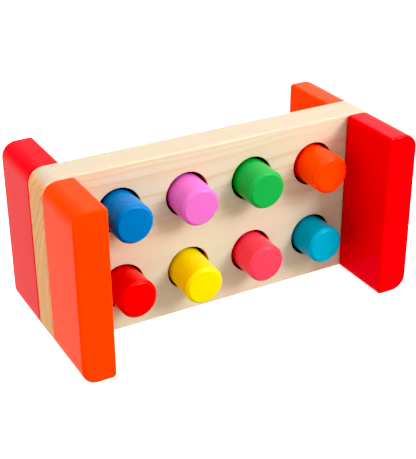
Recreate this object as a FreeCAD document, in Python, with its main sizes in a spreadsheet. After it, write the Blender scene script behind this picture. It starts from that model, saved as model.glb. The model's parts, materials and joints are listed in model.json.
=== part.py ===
import FreeCAD, Part
import math
import os
import Sketcher

# A toy pounding bench: an upright pine board with eight holes, four painted leg boards pinned
# to its ends with dowels, and eight painted pegs, each held in its hole by a rubber ring.
# The bench lies on its long side: +X along the board, -Y towards the front, +Z up, and the
# origin is at the middle of its footprint. Lengths are millimetres, angles are degrees.

DRIVING_SIZES = {
    # The board that carries the pegs
    "panel_length": 228.0,
    "panel_height": 110.0,
    "panel_thickness": 21.5,
    "corner_radius": 9.6,
    "panel_edge_round": 1.2,
    # Legs, all four alike: their outer corners repeat the panel's corners
    "leg_depth": 45.5,
    "leg_thickness": 21.0,
    "leg_height": 109.4,
    "leg_inner_radius": 2.5,
    "leg_edge_round": 1.6,
    # Peg holes, in four columns and two rows, drilled a little above and right of the middle
    "hole_diameter": 28.5,
    "hole_edge_round": 0.5,
    "column_pitch": 45.2,
    "row_pitch": 51.0,
    "hole_rise": 0.7,
    "hole_shift": 0.6,
    # Pegs
    "peg_diameter": 25.0,
    "peg_length": 62.0,
    "peg_chamfer": 1.9,
    # Grip rings, in grooves halfway through the panel
    "ring_section": 3.5,
    "ring_running_gap": 0.05,
    "ring_seat_gap": 0.05,
    # Dowels that pin a front leg and a rear leg through the panel
    "dowel_diameter": 8.0,
    "dowel_length": 61.0,
    "dowel_chamfer": 0.8,
    "dowel_spacing": 60.0,
    "dowel_glue_gap": 0.05,
    "dowel_end_gap": 0.5,
}

DERIVED_SIZES = {
    "ring_centre_radius": "peg_diameter / 2 + ring_running_gap + ring_section / 2",
    "groove_diameter": "2 * (ring_centre_radius + ring_section / 2 + ring_seat_gap)",
    "groove_width": "ring_section + 4 * ring_seat_gap",
    "dowel_hole_diameter": "dowel_diameter + 2 * dowel_glue_gap",
    "dowel_hole_depth": "(dowel_length - panel_thickness) / 2 + dowel_end_gap",
    "dowel_x": "(panel_length - leg_thickness) / 2",
}

# Each peg: its colour, its column and row, how far it stands out of the front face, and how
# far its front end leans to the right and upwards. The rubber rings let each peg lean a little.
PEGS = [
    ("blue", 0, 1, 21.5, 0.5, 0.0),
    ("violet", 1, 1, 18.5, -0.5, -3.0),
    ("green", 2, 1, 19.5, -0.5, -1.0),
    ("orange", 3, 1, 21.0, 1.0, -0.5),
    ("red", 0, 0, 21.5, 2.0, 1.5),
    ("yellow", 1, 0, 24.0, -2.0, -2.0),
    ("coral", 2, 0, 20.5, -0.5, -0.5),
    ("cyan", 3, 0, 19.0, 0.5, 0.0),
]
COLUMNS = 4
ROWS = 2

# Each leg is the same board turned over: its name, side along X, side along Y, and the half
# turn that brings the front left leg there.
LEGS = [
    ("leg_front_left", -1, -1, FreeCAD.Rotation()),
    ("leg_rear_left", -1, 1, FreeCAD.Rotation(FreeCAD.Vector(1, 0, 0), 180)),
    ("leg_front_right", 1, -1, FreeCAD.Rotation(FreeCAD.Vector(0, 1, 0), 180)),
    ("leg_rear_right", 1, 1, FreeCAD.Rotation(FreeCAD.Vector(0, 0, 1), 180)),
]

# Rough first places for a sketch's shapes, which its dimensions then move
START_HALF_WIDTH = 20.0
START_HALF_HEIGHT = 30.0
START_RADIUS = 2.0
START_STEP = 20.0

SHEET = "Sizes"
ORIGIN_POINT = (-1, 1)      # a sketch's own origin, as geometry index and point position
START, END, CENTRE = 1, 2, 3
FLATNESS = 1e-6
LEAST_CUT = 1.0             # cubic millimetres that a pocket has to take away

doc = FreeCAD.newDocument("PoundingBench")


def make_sheet():
    """Fill the spreadsheet: driving sizes as plain numbers, derived ones as formulas."""
    sheet = doc.addObject("Spreadsheet::Sheet", SHEET)
    row = 1
    for name, value in DRIVING_SIZES.items():
        sheet.set(f"A{row}", name)
        sheet.set(f"B{row}", str(value))
        sheet.setAlias(f"B{row}", name)
        row += 1
    for name, formula in DERIVED_SIZES.items():
        sheet.set(f"A{row}", name)
        sheet.set(f"B{row}", f"={formula}")
        sheet.setAlias(f"B{row}", name)
        row += 1
    doc.recompute()


def size(name):
    """The value of one size, in millimetres."""
    return float(getattr(doc.getObject(SHEET), name))


def cells(formula):
    """A formula of size names, written as references to the spreadsheet's cells."""
    names = sorted(list(DRIVING_SIZES) + list(DERIVED_SIZES), key=len, reverse=True)
    words = formula.replace("(", " ( ").replace(")", " ) ").split()
    return " ".join(f"{SHEET}.{word}" if word in names else word for word in words)


def new_body(label):
    body = doc.addObject("PartDesign::Body", label)
    body.Label = label
    return body


def front_sketch(body, name):
    """A sketch on the body's own XZ plane: its x is the row's X and its y is the row's Z."""
    sketch = body.newObject("Sketcher::SketchObject", name)
    plane = next(item for item in body.Origin.OriginFeatures if item.Role == "XZ_Plane")
    sketch.AttachmentSupport = (plane, [""])
    sketch.MapMode = "FlatFace"
    return sketch


def bind(sketch, constraint, name, formula):
    """Add one dimension to a sketch and bind it to a formula of the sheet's sizes."""
    index = sketch.addConstraint(constraint)
    sketch.renameConstraint(index, name)
    sketch.setExpression(f"Constraints.{name}", cells(formula))


def draw_board(sketch, left, right, bottom, top, left_radius, right_radius):
    """An upright board's outline: left and right corners each have one radius.

    The four sides are formulas for where each lies, the radii are names of sizes.
    """
    xl, xr = -START_HALF_WIDTH, START_HALF_WIDTH
    zb, zt = -START_HALF_HEIGHT, START_HALF_HEIGHT
    r = START_RADIUS
    point = FreeCAD.Vector
    sides = [
        Part.LineSegment(point(xl + r, zb), point(xr - r, zb)),
        Part.LineSegment(point(xr, zb + r), point(xr, zt - r)),
        Part.LineSegment(point(xr - r, zt), point(xl + r, zt)),
        Part.LineSegment(point(xl, zt - r), point(xl, zb + r)),
    ]
    corners = [
        ((xr - r, zb + r), 270),
        ((xr - r, zt - r), 0),
        ((xl + r, zt - r), 90),
        ((xl + r, zb + r), 180),
    ]
    for side in sides:
        sketch.addGeometry(side, False)
    for (x, z), start in corners:
        circle = Part.Circle(point(x, z), point(0, 0, 1), r)
        arc = Part.ArcOfCircle(circle, math.radians(start), math.radians(start + 90))
        sketch.addGeometry(arc, False)
    for index in range(4):
        arc = 4 + index
        following = (index + 1) % 4
        sketch.addConstraint(Sketcher.Constraint("Tangent", index, END, arc, START))
        sketch.addConstraint(Sketcher.Constraint("Tangent", arc, END, following, START))
    sketch.addConstraint(Sketcher.Constraint("Horizontal", 0))
    sketch.addConstraint(Sketcher.Constraint("Horizontal", 2))
    sketch.addConstraint(Sketcher.Constraint("Vertical", 1))
    sketch.addConstraint(Sketcher.Constraint("Vertical", 3))
    sketch.addConstraint(Sketcher.Constraint("Equal", 4, 5))
    sketch.addConstraint(Sketcher.Constraint("Equal", 6, 7))
    bind(sketch, Sketcher.Constraint("Radius", 4, r), "right_radius", right_radius)
    bind(sketch, Sketcher.Constraint("Radius", 6, r), "left_radius", left_radius)
    bind(sketch, Sketcher.Constraint("DistanceX", *ORIGIN_POINT, 3, START, xl), "left", left)
    bind(sketch, Sketcher.Constraint("DistanceX", *ORIGIN_POINT, 1, START, xr), "right", right)
    bind(sketch, Sketcher.Constraint("DistanceY", *ORIGIN_POINT, 0, START, zb), "bottom", bottom)
    bind(sketch, Sketcher.Constraint("DistanceY", *ORIGIN_POINT, 2, START, zt), "top", top)


def draw_circles(sketch, diameter, centres):
    """Equal circles of one named diameter, each centre given as two formulas."""
    for number, (x, z) in enumerate(centres):
        centre = FreeCAD.Vector(START_STEP * (number + 1), START_STEP * (number + 1), 0)
        sketch.addGeometry(Part.Circle(centre, FreeCAD.Vector(0, 0, 1), START_RADIUS), False)
        if number == 0:
            start = Sketcher.Constraint("Diameter", 0, 2 * START_RADIUS)
            bind(sketch, start, "diameter", diameter)
        else:
            sketch.addConstraint(Sketcher.Constraint("Equal", 0, number))
        across = Sketcher.Constraint("DistanceX", *ORIGIN_POINT, number, CENTRE, centre.x)
        along = Sketcher.Constraint("DistanceY", *ORIGIN_POINT, number, CENTRE, centre.y)
        bind(sketch, across, f"x{number}", x)
        bind(sketch, along, f"z{number}", z)


def pad(body, sketch, length, midplane=False):
    feature = body.newObject("PartDesign::Pad", f"{body.Name}_pad")
    feature.Profile = sketch
    feature.setExpression("Length", cells(length))
    feature.Midplane = midplane
    doc.recompute()
    return feature


def pocket(body, sketch, length, midplane=False, reverse=False):
    """Cut a sketch's circles out of a body, and make sure that material really went."""
    before = body.Shape.Volume
    feature = body.newObject("PartDesign::Pocket", f"{sketch.Name}_pocket")
    feature.Profile = sketch
    feature.setExpression("Length", cells(length))
    feature.Midplane = midplane
    feature.Reversed = reverse
    doc.recompute()
    if body.Shape.Volume > before - LEAST_CUT:
        raise RuntimeError(f"{feature.Name} cuts nothing")
    return feature


def edges_at(feature, wanted):
    """The names of a feature's edges that a test accepts."""
    return [f"Edge{n}" for n, edge in enumerate(feature.Shape.Edges, 1) if wanted(edge)]


def dress(body, kind, base, edges, dimension, formula):
    """A fillet or chamfer over the named edges, its size bound to the sheet."""
    feature = body.newObject(f"PartDesign::{kind}", f"{body.Name}_{kind.lower()}")
    feature.Base = (base, edges)
    feature.setExpression(dimension, cells(formula))
    doc.recompute()


def lies_across(edge):
    """Whether an edge lies in one plane square to Y, as the rims of a front or back face do."""
    return edge.BoundBox.YLength < FLATNESS


def hole_centre(column, row):
    """The formulas for one peg hole's X and Z."""
    across = column - (COLUMNS - 1) / 2
    up = row - (ROWS - 1) / 2
    x = f"hole_shift + {across} * column_pitch"
    z = f"panel_height / 2 + hole_rise + {up} * row_pitch"
    return x, z


def dowel_centres():
    """The formulas for the four dowels' X and Z."""
    return [
        (f"{side} * dowel_x", f"panel_height / 2 + {level} * dowel_spacing / 2")
        for side in (-1, 1)
        for level in (-1, 1)
    ]


def make_panel():
    """The pine board, with rounded corners, ringed peg holes and holes for the dowels."""
    body = new_body("panel")
    outline = front_sketch(body, "panel_outline")
    draw_board(outline, "-1 * panel_length / 2", "panel_length / 2", "0 * panel_height",
               "panel_height", "corner_radius", "corner_radius")
    board = pad(body, outline, "panel_thickness", midplane=True)
    rims = edges_at(board, lies_across)
    dress(body, "Fillet", board, rims, "Radius", "panel_edge_round")

    centres = [hole_centre(column, row) for row in range(ROWS) for column in range(COLUMNS)]
    holes = front_sketch(body, "peg_holes")
    draw_circles(holes, "hole_diameter", centres)
    drilled = pocket(body, holes, "2 * panel_thickness", midplane=True)
    hole_radius = size("hole_diameter") / 2

    def hole_rim(edge):
        curve = edge.Curve
        return (lies_across(edge) and isinstance(curve, Part.Circle)
                and abs(curve.Radius - hole_radius) < FLATNESS)

    dress(body, "Fillet", drilled, edges_at(drilled, hole_rim), "Radius", "hole_edge_round")

    grooves = front_sketch(body, "ring_grooves")
    draw_circles(grooves, "groove_diameter", centres)
    pocket(body, grooves, "groove_width", midplane=True)

    pins = front_sketch(body, "panel_dowel_holes")
    draw_circles(pins, "dowel_hole_diameter", dowel_centres())
    pocket(body, pins, "2 * panel_thickness", midplane=True)
    return body


def make_leg(label, side, face, turn):
    """One leg board. As drawn it is the front left one, with Z counted from its middle."""
    body = new_body(label)
    outline = front_sketch(body, f"{label}_outline")
    draw_board(outline, "0 * leg_thickness", "leg_thickness", "-1 * leg_height / 2",
               "leg_height / 2", "corner_radius", "leg_inner_radius")
    board = pad(body, outline, "leg_depth")
    dress(body, "Fillet", board, edges_at(board, lies_across), "Radius", "leg_edge_round")
    pins = front_sketch(body, f"{label}_dowel_holes")
    levels = [f"panel_height / 2 - leg_height / 2 + {level} * dowel_spacing / 2"
              for level in (-1, 1)]
    if turn.multVec(FreeCAD.Vector(0, 0, 1)).z < 0:
        levels = [f"-1 * ( {level} )" for level in levels]
    draw_circles(pins, "dowel_hole_diameter", [("leg_thickness / 2", z) for z in levels])
    pocket(body, pins, "dowel_hole_depth", reverse=True)
    body.Placement = FreeCAD.Placement(FreeCAD.Vector(), turn)
    body.setExpression(".Placement.Base.x", cells(f"{side} * panel_length / 2"))
    body.setExpression(".Placement.Base.y", cells(f"{face} * panel_thickness / 2"))
    body.setExpression(".Placement.Base.z", cells("leg_height / 2"))
    return body


def make_pin(label, diameter, length, chamfer):
    """A round pin along Y, centred on its own origin, with both ends chamfered."""
    body = new_body(label)
    section = front_sketch(body, f"{label}_section")
    draw_circles(section, diameter, [(f"0 * {diameter}", f"0 * {diameter}")])
    rod = pad(body, section, length, midplane=True)
    dress(body, "Chamfer", rod, edges_at(rod, lies_across), "Size", chamfer)
    return body


def make_peg(colour, column, row, stands_out, lean_right, lean_up):
    """One painted peg. It leans about the middle of its ring, halfway through the panel."""
    body = make_pin(f"peg_{colour}", "peg_diameter", "peg_length", "peg_chamfer")
    turn = FreeCAD.Rotation(FreeCAD.Vector(0, 0, 1), lean_right)
    turn = turn.multiply(FreeCAD.Rotation(FreeCAD.Vector(1, 0, 0), -lean_up))
    forward = turn.multVec(FreeCAD.Vector(0, -1, 0))
    x, z = hole_centre(column, row)
    slid = f"( {stands_out} + panel_thickness / 2 - peg_length / 2 )"
    body.Placement = FreeCAD.Placement(FreeCAD.Vector(), turn)
    body.setExpression(".Placement.Base.x", cells(f"{x} + {forward.x:.6f} * {slid}"))
    body.setExpression(".Placement.Base.y", cells(f"{forward.y:.6f} * {slid}"))
    body.setExpression(".Placement.Base.z", cells(f"{z} + {forward.z:.6f} * {slid}"))
    print(f"{body.Label} slides along {-forward.x:.6f} {-forward.y:.6f} {-forward.z:.6f}")
    return body


def make_ring(colour, column, row):
    """The rubber ring that grips one peg, seated in the groove halfway through the panel."""
    label = f"grip_ring_{colour}"
    ring = doc.addObject("Part::Torus", label)
    ring.Label = label
    ring.setExpression("Radius1", cells("ring_centre_radius"))
    ring.setExpression("Radius2", cells("ring_section / 2"))
    x, z = hole_centre(column, row)
    along_y = FreeCAD.Rotation(FreeCAD.Vector(1, 0, 0), 90)
    ring.Placement = FreeCAD.Placement(FreeCAD.Vector(), along_y)
    ring.setExpression(".Placement.Base.x", cells(x))
    ring.setExpression(".Placement.Base.z", cells(z))
    return ring


def make_dowels():
    """Four wooden dowels, each through the panel and into a front and a rear leg."""
    names = ["dowel_left_lower", "dowel_left_upper", "dowel_right_lower", "dowel_right_upper"]
    dowels = []
    for label, (x, z) in zip(names, dowel_centres()):
        body = make_pin(label, "dowel_diameter", "dowel_length", "dowel_chamfer")
        body.setExpression(".Placement.Base.x", cells(x))
        body.setExpression(".Placement.Base.z", cells(z))
        dowels.append(body)
    return dowels


def check_document():
    """Stop if any object of the document has failed."""
    doc.recompute()
    for item in doc.Objects:
        if "Invalid" in item.State or "Error" in item.State:
            raise RuntimeError(f"{item.Name} has failed: {item.State}")


def write_parts(pieces):
    """Check every piece's solid and write it to its own STEP file."""
    for piece in pieces:
        shape = piece.Shape
        if shape.isNull() or not shape.isValid() or len(shape.Solids) != 1:
            raise RuntimeError(f"{piece.Label} is not one valid solid")
    os.makedirs("parts", exist_ok=True)
    for piece in pieces:
        piece.Shape.exportStep(os.path.join("parts", f"{piece.Label}.step"))
        print(f"{piece.Label}: {piece.Shape.Volume / 1000:.2f} cm3")


make_sheet()
pieces = [make_panel()]
pieces += [make_leg(*leg) for leg in LEGS]
pieces += make_dowels()
for colour, column, row, stands_out, lean_right, lean_up in PEGS:
    pieces.append(make_ring(colour, column, row))
    pieces.append(make_peg(colour, column, row, stands_out, lean_right, lean_up))
check_document()
write_parts(pieces)
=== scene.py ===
import json
import math

import bmesh
import bpy
from mathutils import Matrix, Vector
from mathutils.geometry import delaunay_2d_cdt


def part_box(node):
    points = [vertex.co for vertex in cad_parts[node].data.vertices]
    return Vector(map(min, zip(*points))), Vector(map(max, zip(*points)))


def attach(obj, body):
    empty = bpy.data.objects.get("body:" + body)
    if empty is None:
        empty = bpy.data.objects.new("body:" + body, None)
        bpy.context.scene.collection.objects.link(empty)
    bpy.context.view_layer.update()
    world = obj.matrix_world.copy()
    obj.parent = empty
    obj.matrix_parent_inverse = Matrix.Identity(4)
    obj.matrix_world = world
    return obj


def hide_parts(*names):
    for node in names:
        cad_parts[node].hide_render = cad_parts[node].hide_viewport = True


# A toy pounding bench: a pine board with eight painted pegs, between four painted leg boards.
# +X runs along the board, -Y is the front and +Z is up. Lengths are metres, and a material's
# own coordinates are millimetres.

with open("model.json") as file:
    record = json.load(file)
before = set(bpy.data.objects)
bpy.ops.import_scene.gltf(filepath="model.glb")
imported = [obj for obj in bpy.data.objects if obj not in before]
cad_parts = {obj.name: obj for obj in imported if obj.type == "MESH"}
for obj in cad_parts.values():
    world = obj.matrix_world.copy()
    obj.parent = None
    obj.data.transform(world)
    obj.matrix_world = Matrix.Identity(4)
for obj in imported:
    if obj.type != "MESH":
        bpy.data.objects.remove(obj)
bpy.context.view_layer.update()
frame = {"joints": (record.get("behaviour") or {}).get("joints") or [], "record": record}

MM = 0.001

# Shapes
OUTER_CORNER = 9.6 * MM         # outer corners of the panel and the legs
LEG_INNER_CORNER = 2.5 * MM
PANEL_EDGE = 1.2 * MM           # rounding along the panel's front and back rims
LEG_EDGE = 1.6 * MM             # the same on a leg
HOLE_RADIUS = 14.25 * MM
HOLE_EDGE = 0.5 * MM
GROOVE_CLEARANCE = 0.05 * MM
PEG_RADIUS = 12.5 * MM
PEG_LENGTH = 62.0 * MM
PEG_CHAMFER = 1.9 * MM
PEG_SOFTNESS = 1.0 * MM         # the radius that the paint gives a peg's edges
DOWEL_CHAMFER = 0.8 * MM
DOWEL_SOFTNESS = 0.3 * MM
DOWEL_CLEARANCE = 0.05 * MM
DOWEL_END_GAP = 0.5 * MM

# Mesh detail
CORNER_STEPS = 14
EDGE_STEPS = 5
ROUND_SIDES = 96
SECTION_SIDES = 24
CAP_GRID = 7.0 * MM             # spacing of the vertices inside a flat face
WELD = 0.002 * MM               # vertices closer than this become one
EXACTNESS = 0.0002 * MM         # how exactly a flat face's triangles keep to its edges
INSIDE_ONLY = 1                 # delaunay_2d_cdt: keep the triangles inside the limits
SHARP = math.radians(50)        # a sharper bend between faces is not smoothed

COLOURS = ("blue", "violet", "green", "orange", "red", "yellow", "coral", "cyan")
LEGS = ("leg_front_left", "leg_rear_left", "leg_front_right", "leg_rear_right")
DOWELS = ("dowel_left_lower", "dowel_left_upper", "dowel_right_lower", "dowel_right_upper")

# Paints, as linear colours. A grain scales the fibre noise along X, Y and Z, per millimetre.
PAINTS = {
    "orange_paint": (0.97, 0.060, 0.012),
    "red_paint": (0.76, 0.008, 0.018),
    "peg_blue_paint": (0.006, 0.165, 0.460),
    "peg_violet_paint": (0.670, 0.148, 0.510),
    "peg_green_paint": (0.020, 0.360, 0.068),
    "peg_orange_paint": (0.95, 0.060, 0.012),
    "peg_red_paint": (0.68, 0.010, 0.013),
    "peg_yellow_paint": (0.80, 0.620, 0.012),
    "peg_coral_paint": (0.88, 0.060, 0.104),
    "peg_cyan_paint": (0.006, 0.330, 0.510),
}
LEG_PAINTS = ("orange_paint", "red_paint")
LEG_GLOSS = {"roughness": 0.11, "ior": 1.18, "grain": (1.1, 1.1, 0.03)}
PEG_GLOSS = {"roughness": 0.26, "ior": 1.28, "grain": (1.1, 0.04, 1.1)}
DEEP_SHARE = 0.93               # how bright the paint's darker patches are beside the rest

# Pine, with lengths in millimetres but for the glow
PITH = (0.0, -75.0, 30.0)       # the middle of the tree, in front of the board
RING_WIDTH = 4.6
RING_WANDER = 16.0              # how far the rings stray from true circles
PLAIN_HEIGHT = 20.0             # the rings are faint below this height
FIGURED_HEIGHT = 95.0           # and clear above this one
EDGE_RINGS = 0.4                # how strongly the top and bottom edges are darkened, as painted shade
END_RINGS = 0.6                 # and on the end grain
EDGE_PAINTED_SHADE = 0.8                  # how much of the edges' colour is sapwood
GLOW_DEPTH = 5.0 * MM           # how far red light spreads under the surface

# Camera: where it stands, which way it turns, and its lens
CAMERA_PLACE = (-0.2938, -0.5338, 0.3652)
CAMERA_YAW = math.radians(-28.65)
CAMERA_PITCH = math.radians(-27.61)
CAMERA_ROLL = math.radians(-0.41)
CAMERA_LENS_MM = 85.07
SENSOR_MM = 36.0

# Light
KEY_PLACE = (0.70, -1.00, 0.75)
KEY_SIZE = 0.50
KEY_POWER = 15.0
# How bright the white room is in each direction, as (axis, sign, strength)
ROOM_ABOVE = ((2, 1, 2.0), (0, -1, 1.0), (0, 1, 1.8), (1, -1, 0.7), (1, 1, 0.6))
ROOM_BELOW = ((2, -1, 0.6), (0, -1, 1.7), (0, 1, 0.8), (1, -1, 0.55), (1, 1, 0.8))
ROOM_COLOUR = (1.05, 0.98, 0.91)
HORIZON = 0.15                  # the two halves of the room blend this far past the horizon
BLACK_LEVEL = 0.03              # what is shown as black, which deepens the colours
FLOOR_GLOW = 0.7
FLOOR_SIZE = 12.0
FLOOR_DROP = 0.05 * MM


# ---------------------------------------------------------------- meshes

def turned(angle):
    return math.cos(angle), math.sin(angle)


def bridge(mesh, here, there):
    """Quads between two closed rings of as many vertices."""
    for i in range(len(here)):
        j = (i + 1) % len(here)
        mesh.faces.new((here[i], here[j], there[j], there[i]))


def circle(mesh, x, y, z, radius, sides=ROUND_SIDES):
    """A ring of vertices about an axis along Y."""
    spokes = [turned(2 * math.pi * i / sides) for i in range(sides)]
    return [mesh.verts.new((x + radius * c, y, z + radius * s)) for c, s in spokes]


def rim_profile(low, high, rounding):
    """(y, inset) pairs along a board's side, from its front rim to its back rim."""
    quarter = [turned(math.pi / 2 * step / EDGE_STEPS) for step in range(EDGE_STEPS + 1)]
    front = [(low + rounding * (1 - c), rounding * (1 - s)) for c, s in quarter]
    back = [(high - rounding * (1 - c), rounding * (1 - s)) for c, s in reversed(quarter)]
    return front + back


def outline(low, high, radii, inset):
    """(x, z) points of a board's outline, drawn in by an inset.

    The radii are those of the lower left, lower right, upper right and upper left corners.
    """
    corners = ((low.x, low.z), (high.x, low.z), (high.x, high.z), (low.x, high.z))
    inwards = ((1, 1), (-1, 1), (-1, -1), (1, -1))
    points = []
    for number, radius in enumerate(radii):
        x = corners[number][0] + inwards[number][0] * radius
        z = corners[number][1] + inwards[number][1] * radius
        for step in range(CORNER_STEPS + 1):
            c, s = turned(math.pi / 2 * (number + 2 + step / CORNER_STEPS))
            points.append((x + (radius - inset) * c, z + (radius - inset) * s))
    return points


def cap(mesh, y, edge, openings):
    """A flat face square to Y inside an edge of (x, z) points, open at each (x, z, radius)."""
    points = [Vector(point) for point in edge]
    loops = [range(len(edge))]
    for x, z, radius in openings:
        start = len(points)
        for i in range(ROUND_SIDES):
            c, s = turned(2 * math.pi * i / ROUND_SIDES)
            points.append(Vector((x + radius * c, z + radius * s)))
        loops.append(range(start, start + ROUND_SIDES))
    limits = [(loop[i], loop[(i + 1) % len(loop)]) for loop in loops for i in range(len(loop))]

    def clear(x, z):
        from_edge = min((Vector((x, z)) - Vector(p)).length for p in edge)
        from_rims = [math.hypot(x - a, z - b) - radius for a, b, radius in openings]
        return min([from_edge] + from_rims) > CAP_GRID / 2

    low = Vector((min(p[0] for p in edge), min(p[1] for p in edge)))
    high = Vector((max(p[0] for p in edge), max(p[1] for p in edge)))
    columns = round((high.x - low.x) / CAP_GRID)
    rows = round((high.y - low.y) / CAP_GRID)
    for i in range(1, columns):
        for j in range(1, rows):
            x = low.x + (high.x - low.x) * i / columns
            z = low.y + (high.y - low.y) * j / rows
            if clear(x, z):
                points.append(Vector((x, z)))

    places, _, triangles, *_ = delaunay_2d_cdt(points, limits, [], INSIDE_ONLY, EXACTNESS)
    verts = [mesh.verts.new((place.x, y, place.y)) for place in places]
    for triangle in triangles:
        middle = sum((places[i] for i in triangle), Vector((0, 0))) / len(triangle)
        if all(math.hypot(middle.x - a, middle.y - b) > r for a, b, r in openings):
            mesh.faces.new([verts[i] for i in triangle])


def bore(mesh, x, z, profile, blind):
    """A round bore's wall along Y, from (y, radius) pairs, and its flat end if it is blind."""
    rings = [circle(mesh, x, y, z, radius) for y, radius in profile]
    for here, there in zip(rings, rings[1:]):
        bridge(mesh, here, there)
    if blind:
        mesh.faces.new(rings[-1])


def board(name, low, high, radii, rounding, through, blind, material):
    """A board across Y with rounded corners and rims.

    through and blind list (x, z, profile) for its bores; blind ones open at their first y.
    """
    mesh = bmesh.new()
    rims = rim_profile(low.y, high.y, rounding)
    rings = []
    for y, inset in rims:
        points = outline(low, high, radii, inset)
        rings.append([mesh.verts.new((x, y, z)) for x, z in points])
    for here, there in zip(rings, rings[1:]):
        bridge(mesh, here, there)
    edge = outline(low, high, radii, rounding)
    for y in (low.y, high.y):
        mouths = []
        for x, z, profile in through + blind:
            for mouth_y, radius in (profile[0], profile[-1]):
                if abs(mouth_y - y) < WELD:
                    mouths.append((x, z, radius))
        cap(mesh, y, edge, mouths)
    for x, z, profile in through:
        bore(mesh, x, z, profile, False)
    for x, z, profile in blind:
        bore(mesh, x, z, profile, True)
    return smooth_object(name, mesh, material)


def chamfered_end(half, radius, chamfer, softness):
    """(y, radius) pairs from the middle of a pin's end to its side, with softened edges."""
    tangent = softness * math.tan(math.pi / 8)
    flat = radius - chamfer - tangent
    side = half - chamfer - tangent
    points = [(half, 0.0), (half, flat / 2)]
    for step in range(EDGE_STEPS + 1):
        c, s = turned(math.pi / 4 * step / EDGE_STEPS)
        points.append((half - softness + softness * c, flat + softness * s))
    for step in range(EDGE_STEPS + 1):
        c, s = turned(math.pi / 4 * (1 + step / EDGE_STEPS))
        points.append((side + softness * c, radius - softness + softness * s))
    return points


def pin(name, centre, axis, length, radius, chamfer, softness, material):
    """A round pin along an axis near Y, turned from a profile."""
    end = chamfered_end(length / 2, radius, chamfer, softness)
    profile = [(-y, r) for y, r in end] + list(reversed(end))
    mesh = bmesh.new()
    rings = [circle(mesh, 0, y, 0, r) for y, r in profile[1:-1]]
    for here, there in zip(rings, rings[1:]):
        bridge(mesh, here, there)
    for (y, _), ring in ((profile[0], rings[0]), (profile[-1], rings[-1])):
        tip = mesh.verts.new((0, y, 0))
        for i in range(ROUND_SIDES):
            mesh.faces.new((tip, ring[i], ring[(i + 1) % ROUND_SIDES]))
    made = smooth_object(name, mesh, material)
    made.rotation_mode = "QUATERNION"
    made.rotation_quaternion = Vector((0, 1, 0)).rotation_difference(Vector(axis))
    made.location = centre
    return made


def torus(name, centre, radius, section, material):
    """A round ring about an axis along Y."""
    mesh = bmesh.new()
    rings = []
    for i in range(SECTION_SIDES):
        c, s = turned(2 * math.pi * i / SECTION_SIDES)
        rings.append(circle(mesh, 0, section * s, 0, radius + section * c))
    for i in range(SECTION_SIDES):
        bridge(mesh, rings[i], rings[(i + 1) % SECTION_SIDES])
    made = smooth_object(name, mesh, material)
    made.location = centre
    return made


def smooth_object(name, mesh, material):
    """A smooth shaded object of a bmesh, with its faces outwards."""
    bmesh.ops.remove_doubles(mesh, verts=mesh.verts, dist=WELD)
    bmesh.ops.recalc_face_normals(mesh, faces=mesh.faces)
    data = bpy.data.meshes.new(name)
    mesh.to_mesh(data)
    mesh.free()
    data.shade_smooth()
    data.set_sharp_from_angle(angle=SHARP)
    data.materials.append(material)
    made = bpy.data.objects.new(name, data)
    bpy.context.scene.collection.objects.link(made)
    shading = made.modifiers.new("even_shading", "WEIGHTED_NORMAL")
    shading.weight = 100
    shading.keep_sharp = True
    return made


# ---------------------------------------------------------------- materials

class Nodes:
    """A short way to write shader nodes."""

    def __init__(self, tree):
        self.tree = tree

    def feed(self, socket, value):
        if isinstance(value, bpy.types.NodeSocket):
            self.tree.links.new(value, socket)
        else:
            socket.default_value = value

    def add(self, kind, inputs, **settings):
        made = self.tree.nodes.new(f"ShaderNode{kind}")
        for name, value in settings.items():
            setattr(made, name, value)
        for key, value in inputs.items():
            self.feed(made.inputs[key], value)
        return made

    def maths(self, operation, *values, clamp=False):
        made = self.add("Math", dict(enumerate(values)), operation=operation, use_clamp=clamp)
        return made.outputs[0]

    def vector(self, operation, *values, **named):
        inputs = dict(enumerate(values))
        inputs.update(named)
        return self.add("VectorMath", inputs, operation=operation).outputs[0]

    def noise(self, vector, detail=2.0, roughness=0.5, output="Fac"):
        inputs = {"Vector": vector, "Scale": 1.0, "Detail": detail, "Roughness": roughness}
        return self.add("TexNoise", inputs).outputs[output]

    def mix(self, factor, a, b, blend="MIX"):
        made = self.add("Mix", {}, data_type="RGBA", blend_type=blend)
        for index, value in ((0, factor), (6, a), (7, b)):
            self.feed(made.inputs[index], value)
        return made.outputs[2]

    def between(self, value, low, high, new_low=0.0, new_high=1.0, smooth=False):
        """A value moved from one range to another, clamped."""
        inputs = {0: value, 1: low, 2: high, 3: new_low, 4: new_high}
        curve = "SMOOTHSTEP" if smooth else "LINEAR"
        return self.add("MapRange", inputs, interpolation_type=curve).outputs[0]

    def ramp(self, factor, stops):
        """A smooth curve of one value, through (position, value) stops."""
        made = self.add("ValToRGB", {0: factor})
        marks = made.color_ramp.elements
        while len(marks) < len(stops):
            marks.new(0.5)
        for mark, (position, value) in zip(marks, stops):
            mark.position = position
            mark.color = (value, value, value, 1)
        return made.outputs["Color"]


class Finish(Nodes):
    """The nodes of one new material."""

    def __init__(self, name):
        self.material = bpy.data.materials.new(name)
        self.material.use_nodes = True
        super().__init__(self.material.node_tree)
        self.shader = self.tree.nodes["Principled BSDF"]
        metres = self.add("TexCoord", {}).outputs["Object"]
        self.place = self.vector("SCALE", metres, Scale=1 / MM)

    def shade(self, **values):
        for name, value in values.items():
            self.feed(self.shader.inputs[name.replace("_", " ")], value)

    def stretched(self, x, y, z):
        """The place in millimetres, scaled along each axis."""
        return self.vector("MULTIPLY", self.place, (x, y, z))

    def bump(self, height, distance):
        inputs = {"Height": height, "Distance": distance, "Strength": 1.0}
        self.shade(Normal=self.add("Bump", inputs).outputs[0])


def opaque(colour):
    return (*colour, 1.0)


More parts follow.
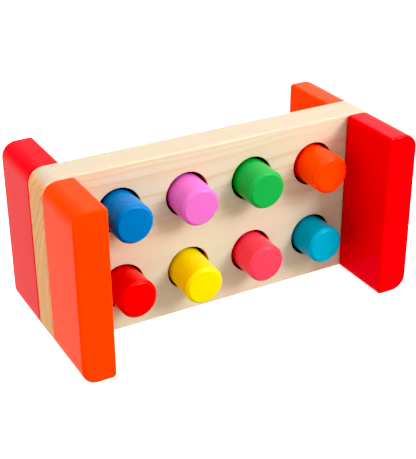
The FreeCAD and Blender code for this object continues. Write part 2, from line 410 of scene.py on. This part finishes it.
def growth_rings(n):
    """How dark the wood's growth rings are at each place, from 0 in early to 1 in late wood."""
    wander = n.noise(n.stretched(0.006, 0.02, 0.02), 2.0, 0.5, "Color")
    wander = n.vector("SUBTRACT", wander, (0.5, 0.5, 0.5))
    wander = n.vector("SCALE", wander, Scale=RING_WANDER)
    across = n.vector("SUBTRACT", n.vector("ADD", n.place, wander), PITH)
    across = n.vector("MULTIPLY", across, (0.0, 1.0, 1.0))
    radius = n.add("VectorMath", {0: across}, operation="LENGTH").outputs["Value"]
    ring = n.maths("DIVIDE", radius, RING_WIDTH)
    uneven = n.noise(n.add("CombineXYZ", {0: n.maths("MULTIPLY", radius, 0.11)}).outputs[0])
    ring = n.maths("MULTIPLY_ADD", uneven, 3.0, ring)
    one_ring = ((0.0, 0.1), (0.3, 0.0), (0.6, 0.35), (0.85, 1.0), (1.0, 0.1))
    return n.ramp(n.maths("FRACT", ring), one_ring)


def pine():
    """Sanded pine under satin lacquer, with streaks on its faces and arcs on its end grain."""
    n = Finish("pine")
    normal = n.add("TexCoord", {}).outputs["Normal"]
    facing = n.add("SeparateXYZ", {0: n.vector("ABSOLUTE", normal)}).outputs
    end = n.between(facing[0], 0.45, 0.9, smooth=True)
    edge = n.between(facing[2], 0.4, 0.9, smooth=True)

    height = n.add("SeparateXYZ", {0: n.place}).outputs[2]
    strength = n.between(n.noise(n.stretched(0.006, 0.04, 0.04), 1.0), 0.35, 0.65, 0.3, 1.0)
    figure = n.between(height, PLAIN_HEIGHT, FIGURED_HEIGHT, 0.15, 0.7)
    strength = n.maths("MULTIPLY", strength, figure)
    strength = n.maths("MAXIMUM", strength, n.maths("MULTIPLY", edge, EDGE_RINGS))
    strength = n.maths("MAXIMUM", strength, n.maths("MULTIPLY", end, END_RINGS))
    fibre = n.noise(n.stretched(0.035, 1.6, 1.6), 3.0, 0.6)
    late = n.maths("MULTIPLY", growth_rings(n), strength)

    cream = opaque((0.61, 0.58, 0.46))
    blush = opaque((0.65, 0.55, 0.43))
    tan = opaque((0.56, 0.38, 0.19))
    # painted shade: a darker, greyer colour for the top and bottom edges
    painted_edge_shade = opaque((0.45, 0.40, 0.33))
    end_pale = opaque((0.64, 0.36, 0.16))
    end_dark = opaque((0.36, 0.17, 0.05))
    broad = n.noise(n.stretched(0.012, 0.05, 0.035), 2.0)
    colour = n.mix(n.between(broad, 0.4, 0.62), cream, blush)
    # the top and bottom edges are darkened towards it as painted shade
    colour = n.mix(n.maths("MULTIPLY", edge, EDGE_PAINTED_SHADE), colour, painted_edge_shade)
    colour = n.mix(end, colour, end_pale)
    colour = n.mix(late, colour, n.mix(end, tan, end_dark))
    shade = n.between(fibre, 0.3, 0.7, 0.97, 1.02)
    colour = n.mix(1.0, colour, shade, "MULTIPLY")
    n.shade(Base_Color=colour, Roughness=n.between(fibre, 0.3, 0.7, 0.36, 0.5), IOR=1.25)
    n.shade(Subsurface_Weight=0.8, Subsurface_Scale=GLOW_DEPTH,
            Subsurface_Radius=(1.0, 0.4, 0.15))
    n.bump(n.maths("SUBTRACT", fibre, n.maths("MULTIPLY", late, 0.4)), 0.02 * MM)
    return n.material


def paint(slot, roughness, ior, grain):
    """Opaque paint over wood whose fibres still show a little, stretched by the grain."""
    n = Finish(slot)
    colour = PAINTS[slot]
    fibre = n.noise(n.stretched(*grain), 3.0, 0.55)
    peel = n.noise(n.stretched(0.45, 0.45, 0.45), 1.0)
    cloud = n.noise(n.stretched(0.03, 0.03, 0.03), 2.0)
    deep = opaque([DEEP_SHARE * channel for channel in colour])
    base = n.mix(n.between(n.maths("ADD", cloud, fibre), 0.8, 1.2), deep, opaque(colour))
    uneven = n.between(cloud, 0.3, 0.7, roughness - 0.03, roughness + 0.05)
    n.shade(Base_Color=base, Roughness=uneven, IOR=ior)
    n.bump(n.maths("MULTIPLY_ADD", fibre, 0.5, peel), 0.012 * MM)
    return n.material


def beech():
    """Plain turned beech with short dark flecks along the grain."""
    n = Finish("dowel_beech")
    fibre = n.noise(n.stretched(1.4, 0.05, 1.4), 3.0, 0.6)
    fleck = n.between(n.noise(n.stretched(2.2, 0.3, 2.2), 1.0), 0.62, 0.72)
    colour = n.mix(n.between(fibre, 0.3, 0.7), opaque((0.60, 0.38, 0.21)),
                   opaque((0.74, 0.52, 0.33)))
    colour = n.mix(n.maths("MULTIPLY", fleck, 0.5), colour, opaque((0.36, 0.19, 0.09)))
    n.shade(Base_Color=colour, Roughness=0.6)
    n.bump(fibre, 0.03 * MM)
    return n.material


def rubber():
    """Black rubber with a matt, faintly dusty skin."""
    n = Finish("grip_rubber")
    skin = n.noise(n.stretched(3.0, 3.0, 3.0), 3.0, 0.6)
    colour = n.mix(n.between(skin, 0.35, 0.65), opaque((0.010, 0.009, 0.009)),
                   opaque((0.028, 0.026, 0.025)))
    n.shade(Base_Color=colour, Roughness=n.between(skin, 0.3, 0.7, 0.6, 0.8))
    n.bump(skin, 0.02 * MM)
    return n.material


def pale_floor():
    n = Finish("pale_floor")
    n.shade(Base_Color=opaque((0.95, 0.95, 0.95)), Roughness=0.9,
            Emission_Color=opaque((1.0, 1.0, 1.0)), Emission_Strength=FLOOR_GLOW)
    return n.material


# ---------------------------------------------------------------- the object

BODY_OF = {node: body for body, nodes in frame["record"]["behaviour"]["bodies"].items()
           for node in nodes}
SLOT_OF = {row["node"]: row["material_slot"] for row in frame["record"]["subparts"]}


def stand_for(piece, node):
    """Let a piece stand for a CAD node: ride on its body, with the node hidden."""
    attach(piece, BODY_OF[node])
    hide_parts(node)


def middle(node):
    low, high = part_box(node)
    return (low + high) / 2


def make_panel(material):
    """The pine board with its ringed peg holes and its dowel holes."""
    low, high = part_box("panel")
    straight = [(y, HOLE_RADIUS + inset) for y, inset in rim_profile(low.y, high.y, HOLE_EDGE)]
    half = len(straight) // 2
    bores = []
    for colour in COLOURS:
        ring_low, ring_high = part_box(f"grip_ring_{colour}")
        groove_radius = (ring_high.x - ring_low.x) / 2 + GROOVE_CLEARANCE
        groove = ring_high.y + 2 * GROOVE_CLEARANCE
        steps = [(-groove, HOLE_RADIUS), (-groove, groove_radius), (groove, groove_radius),
                 (groove, HOLE_RADIUS)]
        x, _, z = middle(f"grip_ring_{colour}")
        bores.append((x, z, straight[:half] + steps + straight[half:]))
    for dowel in DOWELS:
        dowel_low, dowel_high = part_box(dowel)
        radius = (dowel_high.x - dowel_low.x) / 2 + DOWEL_CLEARANCE
        x, _, z = middle(dowel)
        bores.append((x, z, [(low.y, radius), (high.y, radius)]))
    corners = [OUTER_CORNER] * 4
    made = board("pine_panel", low, high, corners, PANEL_EDGE, bores, [], material)
    stand_for(made, "panel")


def make_leg(node, material):
    """A leg board: large corners on its outer side, small ones inside, two blind bores."""
    low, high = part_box(node)
    outer, inner = OUTER_CORNER, LEG_INNER_CORNER
    left_side = low.x < 0
    corners = (outer, inner, inner, outer) if left_side else (inner, outer, outer, inner)
    open_y = high.y if high.y < 0 else low.y
    bores = []
    for dowel in DOWELS:
        dowel_low, dowel_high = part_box(dowel)
        if (dowel_low.x < 0) == left_side:
            radius = (dowel_high.x - dowel_low.x) / 2 + DOWEL_CLEARANCE
            depth = dowel_high.y + DOWEL_END_GAP
            end_y = math.copysign(depth, open_y)
            x, _, z = middle(dowel)
            bores.append((x, z, [(open_y, radius), (end_y, radius)]))
    name = node.replace("leg_", "painted_leg_")
    made = board(name, low, high, corners, LEG_EDGE, [], bores, material)
    stand_for(made, node)


def make_peg(colour, material):
    """A turned peg along its own sliding axis."""
    node = f"peg_{colour}"
    axis = next(joint["axis"] for joint in frame["joints"] if joint["child"] == node)
    made = pin(f"painted_peg_{colour}", middle(node), axis, PEG_LENGTH, PEG_RADIUS,
               PEG_CHAMFER, PEG_SOFTNESS, material)
    stand_for(made, node)


def make_ring(colour, material):
    """The rubber ring in the groove round one peg."""
    node = f"grip_ring_{colour}"
    low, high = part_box(node)
    section = (high.y - low.y) / 2
    radius = (high.x - low.x) / 2 - section
    made = torus(f"rubber_ring_{colour}", middle(node), radius, section, material)
    stand_for(made, node)


def make_dowel(node, material):
    """A glued dowel, hidden inside two legs and the panel."""
    low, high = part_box(node)
    made = pin(node.replace("dowel_", "beech_dowel_"), middle(node), (0, 1, 0), high.y - low.y,
               (high.x - low.x) / 2, DOWEL_CHAMFER, DOWEL_SOFTNESS, material)
    stand_for(made, node)


# ---------------------------------------------------------------- the studio

def make_floor():
    half = FLOOR_SIZE / 2
    data = bpy.data.meshes.new("floor")
    corners = [(-half, -half, 0), (half, -half, 0), (half, half, 0), (-half, half, 0)]
    data.from_pydata(corners, [], [(0, 1, 2, 3)])
    data.materials.append(pale_floor())
    made = bpy.data.objects.new("floor", data)
    made.location.z = -FLOOR_DROP
    made.visible_diffuse = False
    made.visible_glossy = False
    made.visible_shadow = False
    bpy.context.scene.collection.objects.link(made)


def make_key():
    """A soft light from the upper right front."""
    key = bpy.data.lights.new("key", "AREA")
    key.shape = "SQUARE"
    key.size = KEY_SIZE
    key.energy = KEY_POWER
    made = bpy.data.objects.new("key", key)
    made.location = KEY_PLACE
    made.rotation_mode = "QUATERNION"
    made.rotation_quaternion = (-Vector(KEY_PLACE)).to_track_quat("-Z", "Y")
    bpy.context.scene.collection.objects.link(made)


def make_room():
    """A white room whose brightness differs from one direction to the next."""
    world = bpy.data.worlds.new("white_room")
    world.use_nodes = True
    bpy.context.scene.world = world
    n = Nodes(world.node_tree)
    way = n.add("SeparateXYZ", {0: n.add("TexCoord", {}).outputs["Generated"]}).outputs
    above = n.between(way[2], -HORIZON, HORIZON, smooth=True)
    below = n.maths("SUBTRACT", 1.0, above)
    total = 0.0
    for half, sides in ((above, ROOM_ABOVE), (below, ROOM_BELOW)):
        for axis, sign, strength in sides:
            lobe = n.maths("MULTIPLY", way[axis], sign, clamp=True)
            lobe = n.maths("MULTIPLY", n.maths("MULTIPLY", lobe, lobe), strength)
            total = n.maths("MULTIPLY_ADD", lobe, half, total)
    background = world.node_tree.nodes["Background"].inputs
    background["Color"].default_value = opaque(ROOM_COLOUR)
    n.feed(background["Strength"], total)


def make_camera():
    data = bpy.data.cameras.new("camera")
    data.sensor_width = SENSOR_MM
    data.lens = CAMERA_LENS_MM
    data.clip_start = 0.01
    made = bpy.data.objects.new("camera", data)
    turn = (Matrix.Rotation(CAMERA_YAW, 4, "Z")
            @ Matrix.Rotation(math.pi / 2 + CAMERA_PITCH, 4, "X")
            @ Matrix.Rotation(CAMERA_ROLL, 4, "Z"))
    made.matrix_world = Matrix.Translation(CAMERA_PLACE) @ turn
    bpy.context.scene.collection.objects.link(made)
    bpy.context.scene.camera = made


def set_view():
    """Plain colours, with the darkest tones deepened."""
    view = bpy.context.scene.view_settings
    view.view_transform = "Standard"
    view.use_curve_mapping = True
    view.curve_mapping.black_level = (BLACK_LEVEL, BLACK_LEVEL, BLACK_LEVEL)
    view.curve_mapping.update()


make_panel(pine())
leg_paints = {slot: paint(slot, **LEG_GLOSS) for slot in LEG_PAINTS}
for leg in LEGS:
    make_leg(leg, leg_paints[SLOT_OF[leg]])
dowel_beech = beech()
for dowel in DOWELS:
    make_dowel(dowel, dowel_beech)
grip_rubber = rubber()
for colour in COLOURS:
    make_ring(colour, grip_rubber)
    make_peg(colour, paint(f"peg_{colour}_paint", **PEG_GLOSS))
make_floor()
make_key()
make_room()
make_camera()
set_view()
